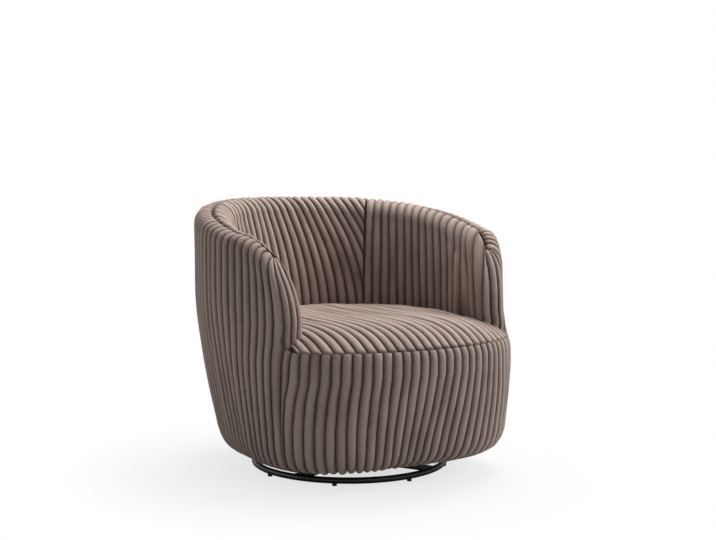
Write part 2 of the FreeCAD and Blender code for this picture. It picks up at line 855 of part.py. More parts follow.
def make_base():
    tube = Part.makeTorus(ring_radius, ring_tube_radius, vec(0, 0, ring_height))
    save("base_ring", tube)
    corner = vec(arm_inner_radius, -arm_width / 2, arm_base)
    arm = Part.makeBox(ring_radius - arm_inner_radius, arm_width, arm_thickness, corner)
    arm = arm.cut(tube)
    number = 0
    quarter = math.degrees(math.pi / 2)
    for copy in around(arm, arm_count, base_turn - quarter):
        number += 1
        save("base_arm_%d" % number, copy)
    holes = around(post_at(plate_hole_circle, bolt_radius, hub_base, hub_thickness),
                   plate_hole_count, base_turn + quarter / 2)
    hub = disc(hub_radius, hub_base, hub_thickness)
    hub = hub.cut(disc(pivot_radius, hub_base, hub_thickness))
    save("base_hub_plate", hub.cut(Part.makeCompound(holes)))
    glide = post_at(ring_radius, glide_radius, 0, ring_height)
    glide = glide.cut(tube)
    lowest = min(glide.Solids, key=lambda solid: solid.CenterOfMass.z)
    start = base_turn - quarter + quarter / 4
    save("glides", Part.makeCompound(around(lowest, glide_count, start)))


os.makedirs("parts", exist_ok=True)
make_covers()
make_padding()
make_frame()
make_swivel()
make_base()
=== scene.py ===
import json
import math

import bmesh
import bpy
import numpy as np
from mathutils import Matrix, Vector


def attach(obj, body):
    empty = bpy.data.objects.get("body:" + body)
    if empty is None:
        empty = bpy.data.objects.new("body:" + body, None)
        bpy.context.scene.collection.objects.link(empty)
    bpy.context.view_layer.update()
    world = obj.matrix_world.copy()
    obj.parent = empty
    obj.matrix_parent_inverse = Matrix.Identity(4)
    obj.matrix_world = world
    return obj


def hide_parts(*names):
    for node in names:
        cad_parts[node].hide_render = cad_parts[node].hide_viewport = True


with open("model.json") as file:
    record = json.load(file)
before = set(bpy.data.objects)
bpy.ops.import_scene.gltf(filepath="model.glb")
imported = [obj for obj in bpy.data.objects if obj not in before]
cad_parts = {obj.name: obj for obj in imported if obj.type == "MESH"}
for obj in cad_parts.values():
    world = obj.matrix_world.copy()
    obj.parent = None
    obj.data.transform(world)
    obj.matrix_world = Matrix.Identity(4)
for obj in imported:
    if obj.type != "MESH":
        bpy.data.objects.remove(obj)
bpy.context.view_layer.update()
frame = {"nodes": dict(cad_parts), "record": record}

# Swivel lounge chair in metres. Z is up, the sitter faces -Y, and the swivel axis is Z.
# The crests of the ribs lie on the surfaces below, and the channels are sewn into them.
# Angles on the shell run from the middle of the back, positive on the sitter's left.

# Ribs and the channels between them. A channel's depth stays under a share of its rib's
# width, and the lining's ribs on the arms are wider than the pitch.
CHANNEL_PITCH = 0.0245
CHANNEL_DEPTH = 0.0105
SEAT_CHANNEL_DEPTH = 0.0125
CHANNEL_DEPTH_LIMIT = 0.45
ARM_STRETCH = 0.82
RIB_FULLNESS = 0.9
RIB_SWELL = 0.10
RIB_HIGHEST = 1.15
CHANNEL_WANDER = 0.0009

# Mesh lines across a rib, and points along a line of each piece
STEPS_PER_RIB = 8
SHELL_ROWS = 120
LINING_ROWS = 70
FRONT_ROWS = 80
SEAT_ROWS = 100

# Outer wall: height, radius of the crests, and how far the front corners stand out
WALL = np.array([
    (0.046, 0.284, 0.050), (0.056, 0.310, 0.055), (0.068, 0.327, 0.059),
    (0.088, 0.338, 0.062), (0.112, 0.346, 0.062), (0.155, 0.355, 0.058),
    (0.197, 0.364, 0.054), (0.240, 0.372, 0.049), (0.282, 0.3795, 0.043),
    (0.324, 0.386, 0.035), (0.366, 0.392, 0.018), (0.408, 0.397, 0.005),
    (0.450, 0.400, 0.001), (0.500, 0.401, 0.000), (0.700, 0.401, 0.000)])
HEM_RADIUS = 0.252
HEM_HEIGHT = 0.047
HEM_CORNER = 0.05

# Rolled rim, and the arm's front that falls from it to the seat
RIM_RADIUS = 0.048
RIM_SQUARENESS = 3.1
RIM_REACH = 0.353
BACK_RIM = 0.649
ARM_RIM = 0.572
RIM_FALL_POWER = 1.45
ARM_FRONT_START = 0.061
ARM_FRONT_REACH = 0.137
ARM_FRONT_FOOT = 0.386
ARM_FRONT_FULLNESS = 0.92
COLUMN_FOOT = 0.340
INNER_LEAN = 0.032
INNER_SWEEP = 0.085
SWEEP_START_ANGLE = math.radians(82)
SWEEP_END_TURN = 55

# Points of the rim's centre line along the back and sides, the arm's front and its foot
BACK_STEPS = 240
FRONT_STEPS = 180
COLUMN_STEPS = 23

# Seams of the lining and of the arms' fronts. Turns run from 0 where the rim starts to
# fall at the arm's front to 90 at its foot, and both turns and rolls are in degrees.
LINING_SEAM = math.radians(38)
LINING_SEAM_LAP = math.radians(3)
LINING_MIDDLE = math.radians(-42)
LINING_SPREAD = 0.385
LINING_FOOT_LIMIT = math.radians(100)
LINING_TUCK = 0.008
APEX_TURN = 40
LINING_LAST_TURN = 31
LINING_LAST_ROLL = 102
GUSSET_FOOT = 0.358
BEND_START = 0.40
BEND_POWER = 1.8

# Lengths over which ribs are rounded down at a seam, and how much of them stays there
RIM_SEAM_LENGTH = 0.013
CREVICE_LENGTH = 0.010
SHORT_SEAM_LENGTH = 0.006
FRONT_SEAM_LEAST = 0.65
LINING_SEAM_LEAST = 0.68

# Seat, and its closed underside: height and share of the outline
SEAT_SEAM = 0.350
SEAT_CROWN = 0.051
SEAT_CROWN_POWER = 6.5
SEAT_CROWN_RADIUS = 0.356
SEAT_HALF_WIDTH = 0.304
SEAT_BACK_RADIUS = 0.300
SEAT_BACK_LEAST = 0.06
UNDERSIDE = 0.305
UNDERSIDE_SHARE = 0.93

# Front: half its angle at the foot in degrees, its ribs, and how far it swells
FRONT_LIMIT = 53
FRONT_RIBS = 29
FRONT_SWELL = 0.022

# The photograph's camera: degrees, metres and pixels
CAMERA_TURN = -30
CAMERA_YAW = 0.39
CAMERA_TILT = 4.4
CAMERA_DISTANCE = 3.286
CAMERA_HEIGHT = 0.763
FOCAL_PIXELS = 1262
PHOTO_PIXELS = 716
SENSOR_WIDTH = 36


def lerp(start, end, share):
    return start + (end - start) * share


def eased(share):
    """A share that starts and ends gently."""
    return share * share * (3 - 2 * share)


def unit(vectors):
    return vectors / np.maximum(np.linalg.norm(vectors, axis=-1, keepdims=True), 1e-9)


def corner_share(angle):
    """How much of a front corner there is at an angle: none behind or straight ahead."""
    ahead = np.abs(np.pi - np.abs(angle))
    return np.where(ahead < np.pi / 2, np.sin(2 * ahead) ** 2, 0)


def wall_crest(angle, height):
    """Radius of the outer wall's crests."""
    radius = np.interp(height, WALL[:, 0], WALL[:, 1])
    return radius + np.interp(height, WALL[:, 0], WALL[:, 2]) * corner_share(angle)


def place(angle, radius, height):
    return np.stack([radius * np.sin(angle), radius * np.cos(angle),
                     height + 0 * angle], -1)


# The rolled rim, on a wall that is unrolled at the radius RIM_REACH

def centre_line():
    """Angles, heights and turns from the middle of the back down to the arm's foot."""
    limit = math.acos(-ARM_FRONT_START / RIM_REACH)
    angles = np.linspace(0, limit, BACK_STEPS)
    share = (RIM_REACH * np.cos(angles) + ARM_FRONT_START) / (RIM_REACH + ARM_FRONT_START)
    heights = ARM_RIM + (BACK_RIM - ARM_RIM) * (1 - (1 - share) ** RIM_FALL_POWER)
    turns = np.radians(np.linspace(0, 90, FRONT_STEPS + 1))[1:]
    reach = ARM_FRONT_START + ARM_FRONT_REACH * np.sin(turns) ** ARM_FRONT_FULLNESS
    front_angles = np.arccos(-reach / RIM_REACH)
    front_heights = (ARM_FRONT_FOOT + (ARM_RIM - ARM_FRONT_FOOT)
                     * np.clip(np.cos(turns), 0, 1) ** ARM_FRONT_FULLNESS)
    column = np.linspace(ARM_FRONT_FOOT, COLUMN_FOOT, COLUMN_STEPS + 1)[1:]
    angles = np.concatenate([angles, front_angles, np.full(COLUMN_STEPS, front_angles[-1])])
    heights = np.concatenate([heights, front_heights, column])
    turns = np.concatenate([np.zeros(BACK_STEPS), np.degrees(turns),
                            np.full(COLUMN_STEPS, 90)])
    return angles, heights, turns


RIM_ANGLES, RIM_HEIGHTS, RIM_TURNS = centre_line()
ARM_END = RIM_ANGLES[-1]
RIM_RUNS = np.concatenate([[0], np.cumsum(np.hypot(
    np.diff(RIM_ANGLES) * RIM_REACH, np.diff(RIM_HEIGHTS)))])
RIM_FALLS = np.arctan2(-np.gradient(RIM_HEIGHTS, RIM_RUNS),
                       np.gradient(RIM_ANGLES * RIM_REACH, RIM_RUNS))


def rim_frame(run, side):
    """Centre, and outward, upward and forward directions, of the rim at a run along it."""
    angle = np.interp(run, RIM_RUNS, RIM_ANGLES)
    height = np.interp(run, RIM_RUNS, RIM_HEIGHTS)
    fall = np.interp(run, RIM_RUNS, RIM_FALLS)
    low = np.maximum(height, ARM_FRONT_FOOT)
    radius = wall_crest(angle, low) - RIM_RADIUS
    out = np.stack([np.sin(angle), np.cos(angle), 0 * angle], -1)
    along = np.stack([np.cos(angle), -np.sin(angle), 0 * angle], -1)
    up_z = np.stack([0 * angle, 0 * angle, 1 + 0 * angle], -1)
    centre = out * radius[..., None] + up_z * height[..., None]
    up = along * np.sin(fall)[..., None] + up_z * np.cos(fall)[..., None]
    ahead = along * np.cos(fall)[..., None] - up_z * np.sin(fall)[..., None]
    flip = np.stack([side, 1 + 0 * side, 1 + 0 * side], -1)
    return centre * flip, out * flip, up * flip, ahead * flip


def sweep(run):
    """How far behind the rim's centre line the arm's inner face starts to turn forward."""
    limits = (run_at_angle(SWEEP_START_ANGLE), run_at_turn(SWEEP_END_TURN))
    return INNER_SWEEP * eased(np.interp(run, limits, (0, 1)))


def rim_point(run, roll, side):
    """Crest of the rolled rim and its normal: roll 0 is outside, 90 on the ridge and 180
    inside."""
    centre, out, up, _ = rim_frame(run, side)
    turn = np.radians(roll)
    inner = np.asarray(roll) > 90
    back = sweep(run) * inner
    square = np.where(inner, 2, RIM_SQUARENESS)
    high = np.maximum(np.sin(turn), 0) ** (2 / square)
    wide = np.abs(np.cos(turn)) ** (2 / square) * np.where(inner, -1, 1)
    rise = (RIM_RADIUS + back) * high - back
    point = centre + out * (RIM_RADIUS * wide)[..., None] + up * rise[..., None]
    normal = (out * (wide * np.abs(wide) ** (square - 2) / RIM_RADIUS)[..., None]
              + up * (high ** (square - 1) / (RIM_RADIUS + back))[..., None])
    return np.concatenate([point, unit(normal)], -1)


def run_at_turn(turn):
    front = slice(BACK_STEPS - 1, BACK_STEPS + FRONT_STEPS)
    return np.interp(turn, RIM_TURNS[front], RIM_RUNS[front])


def run_at_angle(angle):
    end = BACK_STEPS + FRONT_STEPS + 1
    return np.interp(angle, RIM_ANGLES[:end], RIM_RUNS[:end])


def inner_wall(angle, height):
    """Crest of the lining below the rim, leaning back towards its foot."""
    size = np.abs(angle)
    run = run_at_angle(size)
    top = np.interp(run, RIM_RUNS, RIM_HEIGHTS)
    radius = wall_crest(size, np.maximum(top, ARM_FRONT_FOOT)) - RIM_RADIUS * 2
    drop = np.clip((top - ARM_FRONT_FOOT) / (BACK_RIM - ARM_FRONT_FOOT), 0, 1)
    share = np.clip((top - height) / np.maximum(top - SEAT_SEAM - 0.03, 0.01), 0, 1)
    return radius - INNER_LEAN * drop * (1 - (1 - share) ** 2)


def rolled(along, height, inside):
    """Crest point and normal at a place of the unrolled wall: on the wall, or over the
    rolled rim."""
    side = np.where(along < 0, -1.0, 1.0)
    size = np.abs(along)
    shape = along.shape
    flat_along, flat_height = size.ravel(), height.ravel()
    nearest = np.empty(flat_along.size, int)
    centre_along = RIM_ANGLES * RIM_REACH
    chunk = 4000
    for start in range(0, flat_along.size, chunk):
        part = slice(start, start + chunk)
        gap = ((flat_along[part, None] - centre_along) ** 2
               + (flat_height[part, None] - RIM_HEIGHTS) ** 2)
        nearest[part] = gap.argmin(1)
    nearest = nearest.reshape(shape)
    fall = RIM_FALLS[nearest]
    step_along = size - centre_along[nearest]
    step_height = height - RIM_HEIGHTS[nearest]
    rise = step_along * np.sin(fall) + step_height * np.cos(fall)
    shift = step_along * np.cos(fall) - step_height * np.sin(fall)
    run = RIM_RUNS[nearest] + shift
    centre, out, up, _ = rim_frame(run, side)
    back = sweep(run) * inside
    share = np.clip((rise + back) / (RIM_RADIUS + back), 0, 1)
    rise = np.minimum(rise, RIM_RADIUS)
    square = 2 if inside else RIM_SQUARENESS
    depth = RIM_RADIUS * (1 - share ** square) ** (1 / square) * (-1 if inside else 1)
    over = centre + up * rise[..., None] + out * depth[..., None]
    steep = np.abs(depth / RIM_RADIUS) ** (square - 1) * np.sign(depth)
    normal = unit(up * (share ** (square - 1) / (RIM_RADIUS + back))[..., None]
                  + out * (steep / RIM_RADIUS)[..., None])
    over = np.concatenate([over, normal], -1)
    angle = along / RIM_REACH
    if inside:
        wall = place(angle, inner_wall(angle, height), height)
        weight = np.clip((rise + back) / (back * 0.6 + 0.0001), 0, 1)
    else:
        wall = place(angle, wall_crest(angle, height), height)
        weight = np.clip((height - COLUMN_FOOT) / 0.05, 0, 1) * (rise > 0)
    wall = np.concatenate([wall, place(angle, -1 if inside else 1, 0)], -1)
    return lerp(wall, over, eased(weight)[..., None])


def resampled(lines, rows):
    """Each line's points again, spaced evenly along it."""
    places = np.linspace(0, 1, rows)
    columns = lines[0].shape[-1]
    result = np.empty((len(lines), rows, columns))
    for index, line in enumerate(lines):
        step = np.linalg.norm(np.diff(line[:, :3], axis=0), axis=1)
        run = np.concatenate([[0], np.cumsum(step)])
        for axis in range(columns):
            result[index, :, axis] = np.interp(places * run[-1], run, line[:, axis])
    return result


def grid_normals(grid, outwards):
    """Normals of a grid, turned to the side of the directions given."""
    across = np.gradient(grid, axis=0)
    down = np.gradient(grid, axis=1)
    normals = unit(np.cross(across, down))
    flip = np.sign((normals * outwards).sum(-1, keepdims=True))
    return normals * np.where(flip == 0, 1, flip)


def rib_places(marks):
    """Places of the mesh's lines across ribs, closer together beside each seam."""
    steps = (1 - np.cos(np.pi * np.arange(STEPS_PER_RIB) / STEPS_PER_RIB)) / 2
    places = [near + (far - near) * steps for near, far in zip(marks, marks[1:])]
    return np.concatenate(places + [[marks[-1]]])


def ends(grid, first, last, least=0.0):
    """How far the ribs stand at each place of their length: rounded down to the least at
    an end that is sewn over a length, and full elsewhere."""
    step = np.linalg.norm(np.diff(grid, axis=1), axis=-1)
    run = np.concatenate([np.zeros((len(grid), 1)), np.cumsum(step, axis=1)], axis=1)
    full = np.ones_like(run)
    if first:
        share = np.clip(run / first, 0, 1)
        full = np.minimum(full, np.sqrt(1 - (1 - share) ** 2))
    if last:
        share = np.clip((run[:, -1:] - run) / last, 0, 1)
        full = np.minimum(full, np.sqrt(1 - (1 - share) ** 2))
    return least + (1 - least) * full


def sewn(grid, normals, full, seed, depth=CHANNEL_DEPTH, taper=None):
    """The crest surface with its channels sewn in, and how high each point stands."""
    lines = len(grid)
    ribs = (lines - 1) // STEPS_PER_RIB
    chance = np.random.RandomState(seed)
    step = np.arange(lines) % STEPS_PER_RIB / STEPS_PER_RIB
    rise = np.sin(np.pi * step)[:, None] ** RIB_FULLNESS * np.ones((1, grid.shape[1]))
    valleys = grid[::STEPS_PER_RIB]
    width = np.linalg.norm(np.diff(valleys, axis=0), axis=-1)
    number = np.minimum(np.arange(lines) // STEPS_PER_RIB, ribs - 1)
    before = np.maximum(number - (step == 0), 0)
    width = (width[number] + width[before]) / 2
    deep = np.minimum(depth, width * CHANNEL_DEPTH_LIMIT)
    # Slow swells along each rib: three waves, each with a random size and start
    swell = chance.uniform(-1, 1, (ribs, 4))
    length = np.linspace(0, 1, grid.shape[1])
    wave = sum(swell[:, k:k + 1] * np.sin((k + 1.6) * 2.2 * length + 5 * swell[:, k - 1:k])
               for k in range(1, 4)) * RIB_SWELL
    rise = rise * (1 + wave[number] * (rise > 0)) * full
    if taper is not None:
        rise = rise * taper
    high = np.clip(rise, 0, RIB_HIGHEST)
    # A slow sideways wander of each channel
    across = unit(np.gradient(grid, axis=0))
    drift = chance.uniform(-1, 1, (ribs + 1, 3))
    wander = sum(drift[:, k:k + 1] * np.sin((k + 1) * np.pi * length[None])
                 for k in range(3))
    near = wander[np.minimum(number, ribs)]
    far = wander[np.minimum(number + 1, ribs)]
    move = lerp(near, far, step[:, None]) * CHANNEL_WANDER
    edge = np.minimum(np.arange(lines), np.arange(lines)[::-1])[:, None]
    move = move * np.clip(edge / STEPS_PER_RIB, 0, 1)
    points = grid - normals * ((1 - high) * deep)[..., None] + across * move[..., None]
    return points, high


def make_mesh(name, grid, high):
    """A mesh object of a grid of points, with each point's height as a layer."""
    lines, rows = grid.shape[:2]
    faces = [(base + row, base + row + 1, base + rows + row + 1, base + rows + row)
             for base in range(0, (lines - 1) * rows, rows) for row in range(rows - 1)]
    mesh = bpy.data.meshes.new(name)
    mesh.from_pydata([tuple(point) for point in grid.reshape(-1, 3)], [], faces)
    layer = mesh.attributes.new("rib_height", "FLOAT", "POINT")
    layer.data.foreach_set("value", high.ravel().astype(np.float32))
    mesh.validate()
    mesh.shade_smooth()
    piece = bpy.data.objects.new(name, mesh)
    bpy.context.scene.collection.objects.link(piece)
    return piece


def tidy_mesh(piece, facing):
    """Joins points that meet, drops empty faces and turns every face the right way out."""
    work = bmesh.new()
    work.from_mesh(piece.data)
    bmesh.ops.remove_doubles(work, verts=work.verts, dist=0.00015)
    bmesh.ops.dissolve_degenerate(work, edges=work.edges, dist=0.00002)
    bmesh.ops.recalc_face_normals(work, faces=work.faces)
    score = 0
    for face in work.faces:
        score += face.normal.dot(facing(face.calc_center_median())) * face.calc_area()
    if score < 0:
        bmesh.ops.reverse_faces(work, faces=work.faces)
    work.to_mesh(piece.data)
    work.free()
    piece.data.shade_smooth()


# Outer cover of the shell

def shell_marks():
    """Angles of the outer cover's channels on one side, from the middle of the back."""
    front = [95.3, 99.1, 102.9, 106.6, 110.2, 113.6, 117.0, 120.2, 123.4, 127.0, 130.6]
    back = list(np.linspace(0, front[0], 28))[:-1]
    return np.radians(np.array(back + front))


def seam_roll(turn):
    """Roll at which the outer cover ends: on the ridge, then beside the arm's front."""
    return np.interp(turn, (0, APEX_TURN, 53, 66, 78, 90), (90, 84, 46, 29, 22, 21))


def gusset_roll(turn):
    """Roll at which the arm front's gusset meets the lining."""
    return np.interp(turn, (0, APEX_TURN, 53, 66, 78, 90), (90, 91, 89, 85, 83, 82))


def front_seam_angle(height):
    """Angle of the seam between shell and front, which leans in towards the seat."""
    lean = np.interp(height, (0.05, 0.095, 0.165, 0.235, 0.280, 0.350),
                     (FRONT_LIMIT, 52.8, 52.5, 51.3, 49.8, 49.4))
    return np.pi - np.radians(lean)


def front_seam_curve():
    """Heights and places on the unrolled wall of the seam beside the arm's front."""
    turns = np.linspace(90, APEX_TURN, 60)
    along, height = offset_along(run_at_turn(turns), seam_roll(turns))
    return (np.concatenate([[GUSSET_FOOT], height]), np.concatenate([[along[0]], along]))


def offset_along(run, roll):
    """Place on the unrolled wall of a point of the rolled rim."""
    fall = np.interp(run, RIM_RUNS, RIM_FALLS)
    rise = RIM_RADIUS * np.sin(np.radians(roll)) ** (2 / RIM_SQUARENESS)
    along = np.interp(run, RIM_RUNS, RIM_ANGLES) * RIM_REACH + rise * np.sin(fall)
    return along, np.interp(run, RIM_RUNS, RIM_HEIGHTS) + rise * np.cos(fall)


SEAM_HEIGHTS, SEAM_ALONG = front_seam_curve()
RIDGE_ALONG, RIDGE_HEIGHTS = offset_along(
    RIM_RUNS[:np.searchsorted(RIM_TURNS, APEX_TURN) + 1], 90)
APEX_ANGLE = math.degrees(RIDGE_ALONG[-1] / RIM_REACH)


def outer_bend(height, ridge_height):
    """How far a line has bent towards its place on the ridge."""
    return np.clip((height - BEND_START) / (ridge_height - BEND_START), 0, 1) ** BEND_POWER


def gusset_line(angle, height):
    """Places of the line that comes up to the foot of the gusset's seam."""
    return lerp(angle * RIM_REACH, SEAM_ALONG[0], np.clip(height / GUSSET_FOOT, 0, 1) ** 3)


def outer_path(angle, samples=170):
    """Places and heights of a line of the outer cover, from the wall's foot to its end."""
    size = math.degrees(abs(angle))
    share = 1 - (1 - np.linspace(0, 1, samples)) ** 2.4
    to_apex, to_gusset, to_corner = np.degrees(shell_marks()[-3:])
    ridge_angle = np.interp(size, (0, 99, 110, 113.6, 117, 120.2, to_apex),
                            (0, 99, 109.8, 112.8, 115.7, 118, APEX_ANGLE))
    ridge_along = math.radians(ridge_angle) * RIM_REACH
    ridge_height = float(np.interp(ridge_along, RIDGE_ALONG, RIDGE_HEIGHTS))
    low = WALL[0, 0]
    if size <= to_apex:
        height = lerp(low, ridge_height, share)
        bend = outer_bend(height, ridge_height)
        along = lerp(math.radians(size) * RIM_REACH, ridge_along, bend)
    elif size <= to_gusset:
        part = (size - to_apex) / (to_gusset - to_apex)
        height = lerp(low, ridge_height, share)
        bend = outer_bend(height, ridge_height)
        near = lerp(math.radians(to_apex) * RIM_REACH, ridge_along, bend)
        seam = np.where(height < GUSSET_FOOT, gusset_line(math.radians(to_gusset), height),
                        np.interp(height, SEAM_HEIGHTS, SEAM_ALONG))
        along = lerp(near, seam, part)
    else:
        part = min((size - to_gusset) / (to_corner - to_gusset), 1)
        height = lerp(low, lerp(GUSSET_FOOT, SEAT_SEAM, part), share)
        near = gusset_line(math.radians(to_gusset), height)
        along = lerp(near, front_seam_angle(height) * RIM_REACH, part)
    return along * (1 if angle >= 0 else -1), height


def outer_cover():
    """The shell's outer cover, from its turned hem to the seams on the rim."""
    marks = shell_marks()
    marks = np.concatenate([-marks[::-1], marks[1:]])
    paths = [outer_path(angle) for angle in rib_places(marks)]
    along = np.array([path[0] for path in paths])
    height = np.array([path[1] for path in paths])
    lines = rolled(along, height, False)
    angle = along[:, :1] / RIM_REACH
    hem = place(angle, HEM_RADIUS + HEM_CORNER * corner_share(angle), HEM_HEIGHT)
    down_and_out = place(angle, 0.3, -1.0)
    hem = np.concatenate([hem, down_and_out], -1)
    lines = np.concatenate([hem, lines], axis=1)
    grid = resampled(lines, SHELL_ROWS)
    grid, normals = grid[..., :3], unit(grid[..., 3:])
    points, high = sewn(grid, normals, ends(grid, 0, RIM_SEAM_LENGTH), seed=3)
    piece = make_mesh("shell_outer_cover", points, high)
    tidy_mesh(piece, lambda centre: Vector((centre.x, centre.y, 0)))
    return piece


# Lining of the shell, and the seat's surface that it goes down beside

def seat_surface(x, y):
    """Height of the crests of the seat's ribs."""
    angle = np.arctan2(x, y)
    ahead = np.clip((np.abs(angle) - math.radians(118)) / math.radians(14), 0, 1)
    reach = lerp(SEAT_CROWN_RADIUS, front_edge(angle), eased(ahead))
    share = np.clip(np.hypot(x, y) / reach, 0, 1)
    return SEAT_SEAM + SEAT_CROWN * (1 - share ** SEAT_CROWN_POWER)


def front_edge(angle):
    """Radius of the seat's front seam."""
    return wall_crest(angle, SEAT_SEAM) + 0.001 - 0.004 * (1 - corner_share(angle))


def foot_lengths(samples=200):
    """Angles, and lengths along the lining's foot from the middle of the back to each."""
    angles = np.linspace(0, ARM_END, samples)
    radius = inner_wall(angles, np.full(samples, SEAT_SEAM + 0.02))
    steps = np.diff(angles) * (radius[1:] + radius[:-1]) / 2
    return angles, np.concatenate([[0], np.cumsum(steps)])


FOOT_ANGLES, FOOT_RUNS = foot_lengths()


def foot_place(run):
    """Place on the unrolled wall of the lining's foot, at a run from the middle."""
    wall = np.interp(run, FOOT_RUNS, FOOT_ANGLES) * RIM_REACH
    roll = np.pi - np.clip(run - FOOT_RUNS[-1], 0, None) / RIM_RADIUS
    return wall + RIM_RADIUS * np.sin(roll) * (run > FOOT_RUNS[-1])


def lining_line(ridge_run, foot_along, side, samples=110):
    """Crest line of the lining from the ridge down to the seat, on the unrolled wall."""
    share = np.linspace(0, 1, samples) ** 2.2
    start, top = offset_along(ridge_run, 90)
    start = start * side
    along = start + (foot_along - start) * np.sin(np.pi / 2 * share)
    foot = SEAT_SEAM + 0.006
    return along, lerp(top, foot, share)


def lining_lines(pairs):
    """Grid of crest lines from pairs of (run along the ridge, place of the foot)."""
    lines = []
    for ridge, foot in pairs:
        side = -1.0 if ridge < 0 else 1.0
        lines.append(lining_line(abs(ridge), foot, side))
    along = np.array([line[0] for line in lines])
    height = np.array([line[1] for line in lines])
    return along, height


def lining_grid(along, height):
    """The lining's crest lines, each cut off where it has gone down beside the seat."""
    points = rolled(along, height, True)
    seat = seat_surface(points[..., 0], points[..., 1]) - LINING_TUCK
    lines = []
    for line, limit in zip(points, seat):
        under = line[:, 2] < limit
        stop = int(np.argmax(under)) if under.any() else len(line) - 1
        lines.append(line[:max(stop, 4) + 1])
    return resampled(lines, LINING_ROWS)


LAST_RIDGE = float(run_at_turn(LINING_LAST_TURN))
LAST_FOOT = float(FOOT_RUNS[-1] + math.radians(180 - LINING_LAST_ROLL) * RIM_RADIUS)


def arm_pairs(ridge_start, foot_start, shares, side):
    """Pairs for the arm's part of the lining, spaced alike at ridge and at foot."""
    return [(lerp(ridge_start, LAST_RIDGE, share) * side,
             foot_place(lerp(foot_start, LAST_FOOT, share)) * side) for share in shares]


def back_pairs(ridge_middle):
    """Pairs for the long piece, from the seam over the back to the piece's middle."""
    ridge_seam = float(run_at_angle(LINING_SEAM + LINING_SEAM_LAP))
    count = round((ridge_seam - ridge_middle) / CHANNEL_PITCH)
    pairs = []
    for run in rib_places(np.linspace(ridge_seam, ridge_middle, count + 1)):
        angle = math.copysign(float(np.interp(abs(run), RIM_RUNS, RIM_ANGLES)), run)
        foot = LINING_MIDDLE + (angle - LINING_MIDDLE) * (1 + LINING_SPREAD)
        pairs.append((run, min(foot, LINING_FOOT_LIMIT) * RIM_REACH))
    return pairs


def seam_taper(grid, seam, before):
    """How far the ribs stand beside the lining's seam, where they are rounded down."""
    angle = np.arctan2(grid[..., 0], grid[..., 1])
    radius = np.hypot(grid[..., 0], grid[..., 1])
    gap = (seam - angle) * radius * (1 if before else -1)
    share = np.clip(gap / SHORT_SEAM_LENGTH, 0, 1)
    return lerp(LINING_SEAM_LEAST, 1, np.sqrt(1 - (1 - share) ** 2))


def front_line_at(side, first_turn, roll_at):
    """A line down the arm's front, at a roll that follows the turn, to the seat."""
    foot_rows = 12
    turns = np.linspace(first_turn, 90, LINING_ROWS - foot_rows)
    column = np.linspace(run_at_turn(90), RIM_RUNS[-1], foot_rows + 1)[1:]
    runs = np.concatenate([run_at_turn(turns), column])
    rolls = np.concatenate([roll_at(turns), np.full(foot_rows, float(roll_at(90)))])
    return resampled([rim_point(runs, rolls, np.full(LINING_ROWS, side))], LINING_ROWS)[0]


def lining_roll(turn):
    """Roll of the lining's last channel, one rib inside the gusset's seam."""
    return np.interp(turn, (LINING_LAST_TURN, 45, 60, 75, 90),
                     (90, 97, 100, 101, LINING_LAST_ROLL))


def run_and_roll(line, side):
    """Run along the rim and roll round it of each point of a line on the rolled rim."""
    centre, out, up, ahead = rim_frame(RIM_RUNS, np.full(len(RIM_RUNS), float(side)))
    runs, rolls = [], []
    for point in line:
        gap = point[:3] - centre
        off = np.abs((gap * ahead).sum(-1)) + np.where(
            np.linalg.norm(gap, axis=-1) > RIM_RADIUS * 1.6, 1, 0)
        index = int(off.argmin())
        runs.append(RIM_RUNS[index])
        outer = gap[index] @ out[index]
        back = float(sweep(RIM_RUNS[index])) if outer < 0 else 0
        rise = (gap[index] @ up[index] + back) / (RIM_RADIUS + back)
        power = 1 if outer < 0 else RIM_SQUARENESS / 2
        wide = math.copysign(abs(outer / RIM_RADIUS) ** power, outer)
        rolls.append(math.degrees(math.atan2(max(rise, 0) ** power, wide)))
    return np.array(runs), np.array(rolls)


def ribs_between(near, far, side, marks):
    """Crest grid on the rolled rim from one line down the arm's front to another."""
    near_runs, near_rolls = run_and_roll(near, side)
    far_runs, far_rolls = run_and_roll(far, side)
    return np.array([rim_point(lerp(near_runs, far_runs, share),
                               lerp(near_rolls, far_rolls, share), np.full(len(near), side))
                     for share in rib_places(marks)])


